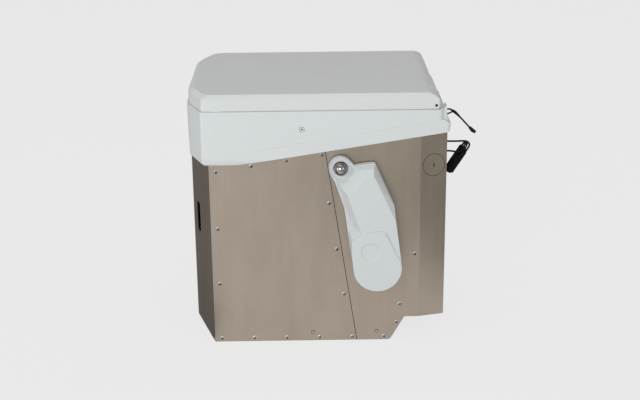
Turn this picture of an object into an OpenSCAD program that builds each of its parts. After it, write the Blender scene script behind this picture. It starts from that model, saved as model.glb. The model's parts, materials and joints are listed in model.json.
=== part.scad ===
// Composting toilet: stainless casings, white moulded seat top and lid, side agitator lever.
// Millimetres. X runs front (-) to back (+), the lever side is -Y, the floor is z = 0 and the
// origin is on the floor, on the centre line.

/* [Casing] */
// Width over the steel side walls
body_w = 350; // [320:1:400]
// Length of the flat side walls, front fold to rear fold
side_l = 375; // [330:1:420]
// How far the nose stands ahead of the front fold
nose_out = 35; // [20:1:50]
// Depth of each nose facet across the body
nose_in = 68; // [40:1:90]
// How far the tail stands behind the rear fold
tail_out = 47; // [30:1:60]
// Depth of each tail facet across the body
tail_in = 12; // [6:1:20]
// Thickness of the steel sheet
sheet = 1.5; // [1:0.1:2]
// Height that the floor rises under the nose
nose_rise = 28; // [15:1:40]
// Height of the step under the tail
heel_z = 46; // [30:1:70]
// Length of the step under the tail, back from its top corner to the tail
heel_l = 72.5; // [55:0.5:100]
// Lean of the joint between the casings, in degrees
seam_lean = 8.66; // [4:0.1:12]
// Foot of the joint between the casings, ahead of the tail
seam_back = 160; // [145:1:180]

/* [Seat top] */
// Height of the bottom edge of the skirt at the nose
skirt_z = 342.5; // [300:0.5:400]
// Length of the flat part of the skirt's bottom edge, back from the front fold
skirt_flat = 51; // [20:1:90]
// Slope of the skirt's bottom edge, in degrees
skirt_slope = 8.67; // [4:0.1:12]
// Height of the deck above the floor
deck_z = 439.3; // [425:0.1:460]
// Overhang of the top beyond the steel side walls
overhang = 4; // [3:0.5:8]
// Wall of the moulded parts
skin = 3; // [2:0.1:4]
// How far the lower rim stands out
lip_out = 1.5; // [0.5:0.1:3]
// Height of the lower rim at the nose
lip_h = 11; // [6:0.5:18]
// Length of the bowl opening in the deck
bowl_l = 262; // [220:1:280]
// Width of the bowl opening in the deck
bowl_w = 222; // [190:1:260]

/* [Lid] */
// Height of the lid's flat top above the deck
lid_h = 28.7; // [24:0.1:40]
// Gap between deck and lid
lid_gap = 1.4; // [1:0.1:3]
// How far the lid stands in from the top's sides
lid_in = 3; // [1:0.5:6]
// Height of the bevel round the lid
bevel_h = 6; // [3:0.5:10]
// Width of the bevel round the lid
bevel_in = 8; // [4:0.5:12]
// Radius that rolls the lid's top down to its back
lid_roll = 25; // [20:0.5:28]
// Diameter of the lid pins
lid_pin_d = 5; // [4:0.1:6]

/* [Lever] */
// Height of the agitator shaft above the floor
shaft_z = 157; // [140:1:180]
// Distance of the agitator shaft ahead of the tail
shaft_back = 124.5; // [115:0.5:135]
// Diameter of the agitator shaft
shaft_d = 12; // [8:0.5:16]
// Radius of the lever's hub
hub_r = 43.5; // [35:0.5:50]
// Distance from the shaft to the knob
lever_l = 192; // [180:1:195]
// Angle of the knob ahead of straight up, in degrees
lever_lean = 19.7; // [12:0.1:28]
// Depth of the lever at its raised face
lever_t = 35; // [30:0.5:42]
// Gap between the lever and the steel
lever_gap = 3.5; // [3:0.1:6]
// Radius of the chrome knob
knob_r = 13; // [10:0.5:15]

/* [Screws and vents] */
// Diameter of the screw heads
head_d = 7.6; // [6:0.1:9]
// Height of the screw heads
head_h = 2.2; // [1.5:0.1:3]
// Diameter of the screw shanks
shank_d = 4; // [3:0.1:5]
// Distance of the screws from the sheet's edges
screw_in = 13.2; // [11:0.1:16]
// Diameter of the round vent plugs
vent_d = 40; // [30:1:50]
// Side of the square fan
fan_w = 60; // [50:1:70]

/* [Hidden] */
$fn = 48;

// Clearances: round shafts and pins, between touching faces, and along the leaning seam
run = 0.05;
eps = 0.01;
seam_gap = 0.6;
big = 600;

// Casing lines
half = body_w / 2;
fold0 = -side_l / 2 - 4.5;
fold1 = fold0 + side_l;
nose_x = fold0 - nose_out;
tail_x = fold1 + tail_out;
heel_x = tail_x - heel_l;
heel_foot_x = heel_x - heel_z / tan(60);
seam_foot = tail_x - seam_back;
shaft_x = tail_x - shaft_back;
slope = tan(skirt_slope);
rim_x = fold0 + skirt_flat;
lap = 9;
function rim_z(x) = skirt_z + slope * max(0, x - rim_x);
function seam_x(z) = seam_foot - z * tan(seam_lean);

// Outline of the steel in plan, counter-clockwise from the near front fold
steel = [[fold0, -half], [fold1, -half], [tail_x, tail_in - half], [tail_x, half - tail_in],
    [fold1, half], [fold0, half], [nose_x, half - nose_in], [nose_x, nose_in - half]];

// Outline of the seat top above its rim
top_half = half + overhang;
top_front = nose_x - 4.5;
top_back = tail_x - 9;
top_fold = fold0 - 10.5;
top_plan = [[top_fold, -top_half], [top_back, -top_half], [top_back, top_half],
    [top_fold, top_half], [top_front, top_half - 67], [top_front, 67 - top_half]];
top_round = [6, 8, 8, 6, 60, 60];
rim_back = tail_x + 4;
rim_plan = [[top_fold, -top_half - lip_out], [rim_back, -top_half - lip_out],
    [rim_back, top_half + lip_out], [top_fold, top_half + lip_out],
    [top_front, top_half - 67], [top_front, 67 - top_half]];
rim_round = [6, 7, 7, 6, 60, 60];
// How far the nose of the seat top draws in down to the skirt's edge
nose_draft = 3;

// Lid and its pins
lid_z0 = deck_z + lid_gap;
lid_z1 = deck_z + lid_h;
pin_x = top_back - 12.5;
pin_z = deck_z + 7.2;
roll_x = top_back - lid_in - lid_roll;
roll_z = lid_z1 - lid_roll;
ear_r = 6.8;
lug_y = top_half - lid_in - skin - 0.6;
lug_t = 12;
lug_r = 5.8;
trough_r = 10.7;
lug_room = trough_r + 0.5;

// Lever
lever_y = -half - lever_gap;
knob_x = -lever_l * sin(lever_lean);
knob_z = lever_l * cos(lever_lean);
tab_r = 21;
tab_t = 10;
arm_t = 12;
cover_t = 2.6;
bush_r = shaft_d / 2 + 4;

// Bowl
bowl_x = -15;
chute_x0 = seam_x(rim_z(0)) + 15;
chute_w = 190;
chute_z = rim_z(chute_x0) - 22;
spout_x = bowl_x - 76;
spout_r = 12;
flap_z = chute_z - 5;
flap_pin_x = bowl_x + (bowl_l - bowl_w) / 2 + bowl_w / 2 - 8;
flap_l = flap_pin_x - chute_x0 + 4;

// Fan
fan_t = 15;
fan_z = shaft_z + 128;
fan_x = tail_x - sheet - fan_t - 1;

// Colours
steel_tint = [0.62, 0.58, 0.53];
dark_steel = [0.5, 0.47, 0.43];
white = [0.88, 0.9, 0.9];
milky = [0.82, 0.88, 0.9];
black = [0.08, 0.08, 0.09];
chrome = [0.8, 0.82, 0.85];

// ---------- Geometry helpers ----------
function unit(v) = v / norm(v);
function at(p, i) = p[(i + len(p)) % len(p)];
function normal(a, b) = unit([a[1] - b[1], b[0] - a[0]]);
// Moves every edge of a counter-clockwise outline inwards by d
function inset(p, d) = [for (i = [0 : len(p) - 1])
    let (m = normal(at(p, i - 1), p[i]), n = normal(p[i], at(p, i + 1)))
    p[i] + d * (m + n) / (1 + m * n)];
// Rounds the corners of an outline, with n steps to each arc
function corner(a, b, c, r, n) = r <= 0 ? [b] :
    let (u = unit(a - b), v = unit(c - b), h = acos(u * v) / 2, m = b + unit(u + v) * r / sin(h),
        s = b + u * r / tan(h), e = b + v * r / tan(h), f = atan2(s[1] - m[1], s[0] - m[0]),
        g = atan2(e[1] - m[1], e[0] - m[0]) - f, t = g > 180 ? g - 360 : g < -180 ? g + 360 : g)
    [for (k = [0 : n]) m + r * [cos(f + t * k / n), sin(f + t * k / n)]];
function rounded(p, r, n = 5) = [for (i = [0 : len(p) - 1])
    each corner(at(p, i - 1), p[i], at(p, i + 1), is_list(r) ? r[i] : r, n)];

// Extrudes an outline given in X and Z along Y, from y0 to y1
module along_y(y0, y1) {
    translate([0, y1, 0]) rotate([90, 0, 0]) linear_extrude(y1 - y0) children();
}
// A cylinder along Y
module rod_y(r, y0, y1) {
    translate([0, y1, 0]) rotate([90, 0, 0]) cylinder(h = y1 - y0, r = r);
}
// A cylinder along X
module rod_x(r, x0, x1) {
    translate([x0, 0, 0]) rotate([0, 90, 0]) cylinder(h = x1 - x0, r = r);
}
module both_sides() {
    children();
    mirror([0, 1, 0]) children();
}

// ---------- Steel casings ----------
// Side view of everything below the rim: floor, nose rise, heel step and sloping top
module side_profile(grow = 0) {
    polygon(rounded([[nose_x - 1, nose_rise * (nose_out + 1) / nose_out - grow], [fold0, -grow],
        [heel_foot_x + grow, -grow], [heel_x + grow, heel_z - grow], [tail_x + 1, heel_z - grow],
        [tail_x + 1, rim_z(tail_x + 1) + lap], [rim_x, rim_z(rim_x) + lap],
        [nose_x - 1, rim_z(0 - big) + lap]], [0, 6, 8, 4, 0, 0, 0, 0]));
}
module casing_tube(t, d = 0) {
    difference() {
        linear_extrude(big) polygon(inset(steel, d));
        translate([0, 0, -1]) linear_extrude(big + 2) polygon(inset(steel, d + t));
    }
}
// Keeps what is ahead of (front) or behind the leaning joint, with a gap
module ahead(gap = seam_gap) {
    along_y(-big, big) polygon([[-big, -1], [seam_x(-1) - gap, -1], [seam_x(big) - gap, big],
        [-big, big]]);
}
module behind(gap = seam_gap) {
    along_y(-big, big) polygon([[seam_x(-1) + gap, -1], [big, -1], [big, big],
        [seam_x(big) + gap, big]]);
}
// Places for the screws in a front side panel, as X and Z
col_x = fold0 + screw_in;
row_z = 7;
seam_off = 8.5;
col_screws = [for (z = [row_z, shaft_z - 41, skirt_z - 120]) [col_x, z]];
row_screws = [for (i = [1 : 4]) [col_x + i * (seam_foot - fold0 - screw_in - seam_off) / 4, row_z]];
top_screws = [for (i = [0 : 3])
    let (x = col_x + i * (seam_x(360) - fold0 - screw_in - 6.7) / 3) [x, rim_z(x) - (i == 0 ? 13 : 6.4)]];
seam_pitch = 88;
seam_screws = [for (i = [0 : 2]) let (z = skirt_z - 73.7 - seam_pitch * i) [seam_x(z) - seam_off, z]];
panel_holes = concat(col_screws, row_screws, top_screws, seam_screws);
rear_holes = [[tail_x - 55, shaft_z + 12.6], [heel_x - 8.8, heel_z + 25.4],
    [heel_x - 14.5, heel_z - 10.3], [heel_x - 37.5, row_z]];
rivet_holes = [[fold0 + 181, 17], [fold0 + 298.5, 17.5]];

module at_points(p) {
    for (q = p) translate([q[0], 0, q[1]]) children();
}
module side_bores(p, r) {
    at_points(p) rod_y(r, -half - 1, half + 1);
}

module front_wrap() color(steel_tint) difference() {
    intersection() {
        union() {
            difference() {
                casing_tube(sheet);
                translate([fold0 + sheet, -big, -1]) cube([big, 2 * big, big + 2]);
            }
            // Return flanges behind the side panels
            both_sides() translate([fold0 + 0.2, -half + sheet + 0.05, 2 * sheet])
                cube([22, sheet, big]);
        }
        along_y(-big, big) side_profile();
        union() {
            translate([-big, -big, 0]) cube([big + fold0 + sheet, 2 * big, big]);
            both_sides() translate([fold0 - 10, -half + sheet, 0]) cube([40, 3 * sheet, big]);
        }
    }
    side_bores(panel_holes, shank_d / 2);
    // A tall slot in each nose facet shows how full the bottle is
    both_sides() nose_slot();
}
slot_h = 58;
slot_w = 14;
slot_z = 230;
module nose_slot() {
    facet = atan2(nose_in, nose_out);
    translate([fold0, -half, slot_z]) rotate([0, 0, 180 - facet]) translate([54, 0, 0])
        rotate([90, 0, 0]) linear_extrude(12, center = true) hull() {
            translate([0, slot_h / 2 - slot_w / 2]) circle(d = slot_w);
            translate([0, slot_w / 2 - slot_h / 2]) circle(d = slot_w);
        }
}
module front_panel() {
    difference() {
        intersection() {
            translate([fold0 + sheet + 0.1, -half, 0]) cube([big, sheet, big]);
            along_y(-big, big) side_profile();
            ahead();
        }
        side_bores(panel_holes, shank_d / 2);
        side_bores([rivet_holes[0]], 1.6);
    }
}
module front_panel_near() color(steel_tint) front_panel();
module front_panel_far() color(steel_tint) mirror([0, 1, 0]) front_panel();

// The flat sheet that closes a module along the leaning joint
module bulkhead(gap) {
    w = half - sheet - 0.05;
    intersection() {
        along_y(-w, w) polygon([[seam_x(0) + gap, 0], [seam_x(0) + gap + sheet, 0],
            [seam_x(big) + gap + sheet, big], [seam_x(big) + gap, big]]);
        along_y(-w, w) polygon([[-big, sheet], [big, sheet], [big, rim_z(big) + lap],
            [rim_x, rim_z(rim_x) + lap], [-big, rim_z(rim_x) + lap]]);
    }
}
seam_flange_w = 18;
module seam_flange() {
    gap = -seam_gap - seam_flange_w;
    both_sides() intersection() {
        translate([0, -half + sheet + 0.05, 0]) along_y(0, sheet)
            polygon([[seam_x(0) + gap, sheet], [seam_x(0) - seam_gap, sheet],
                [seam_x(big) - seam_gap, big], [seam_x(big) + gap, big]]);
        along_y(-big, big) polygon([[-big, 24], [big, 24], [big, rim_z(big) - 6],
            [rim_x, rim_z(rim_x) - 6], [-big, rim_z(rim_x) - 6]]);
    }
}
module front_bulkhead() color(dark_steel) difference() {
    union() {
        bulkhead(-seam_gap - sheet);
        seam_flange();
    }
    side_bores(panel_holes, shank_d / 2);
}
module rear_bulkhead() color(dark_steel) bulkhead(seam_gap);

// Floors: a bent sheet along the lower edge with upturned flanges
module floor_sheet(x0, x1) {
    w = half - sheet - 0.05;
    h = 22;
    intersection() {
        difference() {
            along_y(-w, w) side_profile();
            along_y(-w + sheet, w - sheet) side_profile(-sheet);
            translate([-big, -big, h + nose_rise]) cube([2 * big, 2 * big, big]);
            along_y(-big, big) polygon([[-big, h], [fold0 - 4, h], [fold0 - 4, big], [-big, big]]);
            along_y(-big, big) polygon([[fold0 + 2, h], [heel_foot_x - 3, h],
                [heel_x - 10, heel_z + h], [big, heel_z + h], [big, big], [fold0 + 2, big]]);
        }
        along_y(-w, w) polygon([[x0, -1], [x1, -1], [x1, big], [x0, big]]);
        linear_extrude(big) polygon(inset(steel, sheet + 0.1));
    }
}
module front_floor() color(dark_steel) difference() {
    intersection() {
        floor_sheet(-big, seam_foot - seam_gap);
        ahead(seam_gap + sheet + 0.05);
    }
    translate([fold0 - 1, -big, sheet]) cube([24, 2 * big, big]);
    side_bores(concat(panel_holes, rivet_holes), shank_d / 2);
}
module rear_floor() color(dark_steel) difference() {
    intersection() {
        floor_sheet(seam_foot + seam_gap, big);
        behind(seam_gap + sheet + 0.05);
    }
    side_bores(rear_holes, shank_d / 2);
    side_bores([rivet_holes[1]], 1.6);
}
lead_y = 45 - half;
lead_z = [skirt_z + 25.5, skirt_z + 7.5];
module rear_casing() color(steel_tint) difference() {
    intersection() {
        casing_tube(sheet);
        along_y(-big, big) side_profile();
        behind();
    }
    side_bores(rear_holes, shank_d / 2);
    side_bores([rivet_holes[1]], 1.6);
    translate([shaft_x, 0, shaft_z]) rod_y(bush_r, -half - 1, half + 1);
    both_sides() vent_place() translate([0, 0, -3]) cylinder(h = 6, r = vent_d / 2 + vent_gap);
    // Fan slots in the back wall
    for (i = [-3 : 3]) translate([tail_x, 0, fan_z + 7 * i]) cube([8, slot_len(i), 3.4], center = true);
    for (z = lead_z) translate([0, lead_y, z]) rod_x(4, tail_x - 5, tail_x + 5);
    for (y = hinge_screw_y) translate([0, y, hinge_z - 12]) rod_x(1.6, tail_x - 5, tail_x + 5);
}
function slot_len(i) = 2 * sqrt(pow(fan_w / 2 - 3, 2) - pow(7 * i, 2));

// The middle of a tail facet, with Z pointing out of the steel
vent_z = skirt_z - 6.5;
vent_gap = 0.8;
module vent_place() {
    translate([(fold1 + tail_x) / 2, -half + tail_in / 2, vent_z])
        rotate([0, 0, atan2(tail_in, tail_out)]) rotate([90, 0, 0]) children();
}
module vent_plug() {
    vent_place() difference() {
        union() {
            translate([0, 0, -sheet]) cylinder(h = sheet + 0.2, r = vent_d / 2);
            translate([0, 0, -sheet - 4]) cylinder(h = 4.01, r = vent_d / 2 - 4);
            // Bayonet ears behind the sheet
            for (a = [20, 200]) rotate([0, 0, a]) translate([vent_d / 2 - 6, -4, -sheet - 3])
                cube([8.5, 8, 2.4]);
        }
        translate([0, 0, -1.2]) cube([2.2, 8, 6], center = true);
    }
}
module vent_plug_near() color(steel_tint) vent_plug();
module vent_plug_far() color(steel_tint) mirror([0, 1, 0]) vent_plug();

// ---------- Fasteners ----------
module head_at() {
    // Domed head outside the near wall, shank through it
    rotate([90, 0, 0]) {
        translate([0, 0, 0.02]) intersection() {
            cylinder(h = head_h, d = head_d, $fn = 24);
            translate([0, 0, head_h - head_d * 0.72]) sphere(d = head_d * 1.44, $fn = 24);
        }
        translate([0, 0, -sheet * 2 - 3]) cylinder(h = sheet * 2 + 3.03, d = shank_d - 0.02, $fn = 16);
    }
}
module panel_screws() {
    at_points(panel_holes) translate([0, -half, 0]) difference() {
        head_at();
        socket(head_h);
    }
}
// Hexagon socket in a head of height h that faces -Y
module socket(h) {
    translate([0, -h, 0]) rotate([90, 0, 0]) cylinder(h = 2.4, d = head_d * 0.42, center = true, $fn = 6);
}
module panel_screws_near() color(chrome) panel_screws();
module panel_screws_far() color(chrome) mirror([0, 1, 0]) panel_screws();
module rear_screws() color(chrome) both_sides() at_points(rear_holes)
    translate([0, -half, 0]) difference() {
        head_at();
        socket(head_h);
    }
module floor_rivets() color(dark_steel) both_sides() at_points(rivet_holes)
    translate([0, -half, 0]) rotate([90, 0, 0]) {
        translate([0, 0, 0.02]) cylinder(h = 0.5, r = 2.8, $fn = 24);
        translate([0, 0, -2 * sheet - 0.1]) cylinder(h = 2 * sheet + 0.13, r = 1.58, $fn = 16);
    }

// ---------- Urine bottle ----------
bottle_top = 286;
neck_r = 30;
neck_h = 24;
funnel_h = 24;
flare_h = 14;
flare_w = 20;
module bottle_body(d) {
    x1 = seam_x(0) - 6 - d;
    along_y(-half + 14 + d, half - 14 - d) polygon(rounded([[fold0 + 6 + d, 8 + d],
        [x1 - 3, 8 + d], [x1 - bottle_top * tan(seam_lean), bottle_top - d],
        [fold0 + 6 + d, bottle_top - d]], 18 - d));
}
module urine_bottle() color(milky) difference() {
    union() {
        bottle_body(0);
        translate([spout_x, 0, bottle_top - 4]) cylinder(h = neck_h, r = neck_r);
        // Nose of the bottle, seen through the slots in the steel
        translate([fold0 - 12, -70, 46]) cube([20, 140, 214]);
    }
    bottle_body(2.5);
    translate([spout_x, 0, bottle_top - 10]) cylinder(h = 2 * neck_h, r = neck_r - skin);
}
module bottle_cap() color(black) translate([spout_x, 0, bottle_top]) difference() {
    translate([0, 0, 2]) cylinder(h = neck_h - 2, r = neck_r + 4);
    translate([0, 0, 1]) cylinder(h = neck_h - 4.8, r = neck_r + 0.15);
    cylinder(h = neck_h + 6, r = spout_r + skin + 0.02);
}
module bottle_funnel() color(white) translate([spout_x, 0, bottle_top + 6]) difference() {
    union() {
        cylinder(h = funnel_h, r = spout_r + skin);
        translate([0, 0, neck_h - 5.9])
            cylinder(h = flare_h, r1 = spout_r + skin, r2 = spout_r + flare_w + 2);
    }
    translate([0, 0, -1]) cylinder(h = funnel_h + flare_h + 2, r = spout_r);
    translate([0, 0, neck_h - 3.9]) cylinder(h = flare_h, r1 = spout_r, r2 = spout_r + flare_w);
}

// ---------- Solids bin and agitator ----------
bin_top = skirt_z - 45;
bin_w = half - 12;
module bin_profile(d) {
    f = sheet * 2 + 1.5 + d;
    polygon([[seam_x(4 + d) + f, 4 + d], [heel_foot_x - 3 - d, 4 + d],
        [heel_x - 8 - d, heel_z + 6 + d], [tail_x - 46 - d, 205],
        [tail_x - 46 - d, bin_top + (d > 0 ? 10 : 0)],
        [seam_x(bin_top + (d > 0 ? 10 : 0)) + f, bin_top + (d > 0 ? 10 : 0)]]);
}
module solids_bin() color([0.25, 0.26, 0.27]) difference() {
    union() {
        along_y(-bin_w, bin_w) bin_profile(0);
        // Bosses that carry the shaft
        both_sides() translate([shaft_x, 0, shaft_z]) rod_y(shaft_d / 2 + 6, -half + sheet + 1, -bin_w + 1);
    }
    along_y(-bin_w + skin, bin_w - skin) bin_profile(skin);
    translate([shaft_x, 0, shaft_z]) rod_y(shaft_d / 2 + 0.5, -half, half);
}
module shaft_bush() {
    translate([shaft_x, 0, shaft_z]) difference() {
        union() {
            rod_y(bush_r, -half - 1.6, -half + sheet + 0.8);
            rod_y(bush_r + 5, -half - 1.6, -half - 0.02);
        }
        rod_y(shaft_d / 2 + run, -half - 10, -half + 10);
    }
}
module shaft_bush_near() color(black) shaft_bush();
module shaft_bush_far() color(black) mirror([0, 1, 0]) shaft_bush();
shaft_end = half + 6;
module agitator_shaft() color(chrome) translate([shaft_x, 0, shaft_z]) difference() {
    rod_y(shaft_d / 2, lever_y - lever_t + 8, shaft_end);
    // Groove for the clip on the far end
    translate([0, shaft_end - 2.5, 0]) difference() {
        rod_y(shaft_d, -0.5, 0.5);
        rod_y(shaft_d / 2 - 0.8, -0.6, 0.6);
    }
}
paddle_r = 46;
paddle_w = 32;
paddle_hub = 16;
paddle_pitch = (2 * bin_w - paddle_hub) / 5;
module agitator_paddles() color(chrome) translate([shaft_x, 0, shaft_z])
    for (i = [0 : 4]) translate([0, (i - 2) * paddle_pitch, 0]) difference() {
        union() {
            rod_y(shaft_d / 2 + 5, -paddle_hub / 2, paddle_hub / 2);
            for (a = [0, 180]) rotate([0, a + i * 36, 0]) {
                translate([-3, -3, shaft_d / 2 + 2]) cube([6, 6, paddle_r - shaft_d / 2 - 6]);
                translate([-3, -paddle_w / 2, paddle_r - 10]) cube([4, paddle_w, 9]);
            }
        }
        rod_y(shaft_d / 2, -paddle_hub, paddle_hub);
    }
module shaft_clips() color(dark_steel) translate([shaft_x, shaft_end - 2.5, shaft_z]) difference() {
    rod_y(shaft_d / 2 + 3, -0.4, 0.4);
    rod_y(shaft_d / 2 - 0.75, -1, 1);
    translate([0, -2, 0]) cube([shaft_d, 4, shaft_d / 2 - 1]);
}

// ---------- Side lever, drawn about the shaft in X and Z ----------
shoulder = [30.7, 111];
elbow = [-58.4, 108];
arm_r = lever_l - 2.5;
function polar(r, a) = [r * sin(a), r * cos(a)];
function arm_arc(r, a0, a1) = [for (i = [0 : 6]) polar(r, a0 + i * (a1 - a0) / 6)];
// Outline at the back: hub, straight sides, arc at the top and the knob's tab
module lever_outline() {
    circle(r = hub_r, $fn = 96);
    polygon(concat([polar(hub_r, 83.2), shoulder], arm_arc(arm_r, -1.3, -13),
        [elbow, polar(hub_r, -98.66)]));
    polygon([elbow, [-75.5, 158], [knob_x - tab_r * cos(25), knob_z - tab_r * sin(25)],
        [knob_x, knob_z], [-51.8, 197.5], polar(arm_r, -12.2)]);
    translate([knob_x, knob_z]) circle(r = tab_r);
}
// Outline of the face that covers the hub
cover_r = 43;
module cover_outline(d = 0) {
    circle(r = cover_r - d, $fn = 96);
    polygon(concat([polar(cover_r - d, 76), [13.4 - d, 69.8 - d]],
        [for (i = [1 : 7]) polar(70.9 - d, 11 - i * 7.4)],
        [[d - 46, 28], polar(cover_r - d, -97)]));
}
module lever_housing() color(white) translate([shaft_x, lever_y, shaft_z]) difference() {
    union() {
        along_y(-arm_t, 0) difference() {
            lever_outline();
            translate([knob_x, knob_z]) circle(r = tab_r - 1);
        }
        along_y(-tab_t, 0) lever_outline();
        // Raised block with drafted walls and a chamfer
        hull() {
            along_y(-tab_t, -1) polygon(concat([[-12, 13], elbow, [-75.5, 158]],
                arm_arc(arm_r, -22, -1.3), [shoulder, [42.6, 12]]));
            along_y(11 - lever_t, 12 - lever_t) polygon(concat([[-13, 13], [-63.4, 149]],
                arm_arc(arm_r - 6, -19, -2.1), [[29.6, 114], [42.6, 12]]));
            along_y(-lever_t, 1 - lever_t) polygon([[-9, 10], [-58.4, 152.3], [-47, 160.2], [-34.2, 166.3],
                [-20, 170.8], [-7.1, 173], [31.6, 90], [42.3, 12]]);
        }
        // Drum under the hub's face
        hull() {
            along_y(-arm_t, 0) {
                circle(r = hub_r, $fn = 64);
                polygon([[-51.5, 66], [-44, 74], [-44, 0], polar(hub_r, -98.66)]);
                polygon([[-44, 74], [33, 74], polar(hub_r, 83.2), [-44, 0]]);
            }
            along_y(-lever_t, 1 - lever_t) cover_outline();
        }
    }
    // Level surface round the knob
    translate([knob_x, 0, knob_z]) rotate([90, 0, 0])
        translate([0, 0, tab_t]) cylinder(h = 30, r1 = 18.5, r2 = 46);
    // Hollow behind the hub, leaving the boss on the shaft
    along_y(-lever_t + skin + 2, 1) difference() {
        circle(r = hub_r - 5);
        circle(r = shaft_d / 2 + 6);
    }
    rod_y(shaft_d / 2, -lever_t + 8, 1);
    translate([knob_x, 0, knob_z]) rod_y(4, -lever_t, 1);
}
dimple_x = -12.9;
dimple_z = 32;
module hub_cover() color(white) translate([shaft_x, lever_y - lever_t, shaft_z]) difference() {
    union() {
        along_y(-cover_t + 0.8, -0.02) cover_outline();
        along_y(-cover_t, -0.1) cover_outline(0.8);
    }
    translate([dimple_x, -cover_t, dimple_z]) rotate([90, 0, 0]) translate([0, 0, -1.4])
        cylinder(h = 2, r1 = 15, r2 = 18);
}
module knob_stud() color(chrome) translate([shaft_x + knob_x, lever_y, shaft_z + knob_z]) {
    rod_y(4, -tab_t - 11, 0);
    rod_y(knob_r, -tab_t - 1.6, -tab_t - 0.02);
}
module lever_knob() color(chrome) translate([shaft_x + knob_x, lever_y - tab_t - 1.9, shaft_z + knob_z])
    rotate([90, 0, 0]) difference() {
        union() {
            cylinder(h = 4, r = knob_r - 1);
            translate([0, 0, 3.9]) intersection() {
                cylinder(h = 12, r = knob_r - 3.5);
                translate([0, 0, -2]) sphere(r = knob_r - 1.5);
            }
        }
        translate([0, 0, -1]) cylinder(h = 10.2, r = 4 + run);
    }

// ---------- Fan ----------
module fan_place() {
    translate([fan_x, 0, fan_z]) children();
}
module fan_frame() color(black) fan_place() difference() {
    union() {
        difference() {
            translate([0, -fan_w / 2, -fan_w / 2]) cube([fan_t, fan_w, fan_w]);
            rod_x(fan_w / 2 - 2, -1, fan_t + 1);
        }
        rod_x(12, 0.3, 2.8);
        for (a = [45, 165, 285]) rotate([a, 0, 0]) translate([0.6, -2, 10]) cube([1.8, 4, fan_w / 2 - 11]);
    }
    rod_x(1.5 + run, -1, 5);
    for (y = [-1, 1], z = [-1, 1]) translate([0, y * (fan_w / 2 - 4), z * (fan_w / 2 - 4)])
        rod_x(1.6, -1, fan_t + 1);
}
module fan_screws() color(chrome) fan_place()
    for (y = [-1, 1], z = [-1, 1]) translate([0, y * (fan_w / 2 - 4), z * (fan_w / 2 - 4)]) {
        rod_x(1.58, 0.1, fan_t + 0.9);
        rod_x(3, -1.5, -0.02);
        rod_x(1.58, -0.1, 0.2);
    }
module fan_rotor() color(black) fan_place() {
    rod_x(1.5, 0.4, 4);
    rod_x(13, 3.3, fan_t - 1);
    for (i = [0 : 6]) rotate([i * 360 / 7, 0, 0]) translate([(fan_t + 2.3) / 2, 0, 12])
        rotate([0, 0, 38]) translate([-0.8, -6, 0]) cube([1.6, 12, fan_w / 2 - 15.4]);
}

// ---------- Hinge that lets the whole top tip back ----------
hinge_w = 120;
hinge_z = rim_z(tail_x) - 1.5;
hinge_x = tail_x + 8;
hinge_r = 3.2;
hinge_screw_y = [-45, 0, 45];
knuckles = 5;
module knuckle_set(first) {
    w = hinge_w / knuckles;
    for (i = [first : 2 : knuckles - 1]) translate([0, -hinge_w / 2 + i * w + 0.2, 0])
        rod_y(hinge_r, 0, w - 0.4);
}
module top_hinge_leaf() color(chrome) translate([hinge_x, 0, hinge_z]) difference() {
    union() {
        knuckle_set(0);
        for (i = [0 : 2 : knuckles - 1])
            translate([-8 + 0.02, -hinge_w / 2 + i * hinge_w / knuckles + 0.2, -6])
            cube([7, hinge_w / knuckles - 0.4, 4]);
        translate([-8 + 0.02, -hinge_w / 2, -20]) cube([1.5, hinge_w, 17]);
    }
    rod_y(1.5 + run, -big, big);
    for (y = hinge_screw_y) translate([0, y, -12]) rod_x(1.6, -10, 2);
}
module top_hinge() color(chrome) translate([hinge_x, 0, hinge_z]) difference() {
    union() {
        knuckle_set(1);
        for (i = [1 : 2 : knuckles - 1])
            translate([-4 + 0.05, -hinge_w / 2 + i * hinge_w / knuckles + 0.2, 0])
            cube([4, hinge_w / knuckles - 0.4, 4]);
        translate([-4 + 0.05, -hinge_w / 2, 3.6]) cube([1.5, hinge_w, 12]);
    }
    rod_y(1.5, -big, big);
}
module top_hinge_pin() color(dark_steel) translate([hinge_x, 0, hinge_z])
    rod_y(1.5, -hinge_w / 2, hinge_w / 2);

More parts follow.
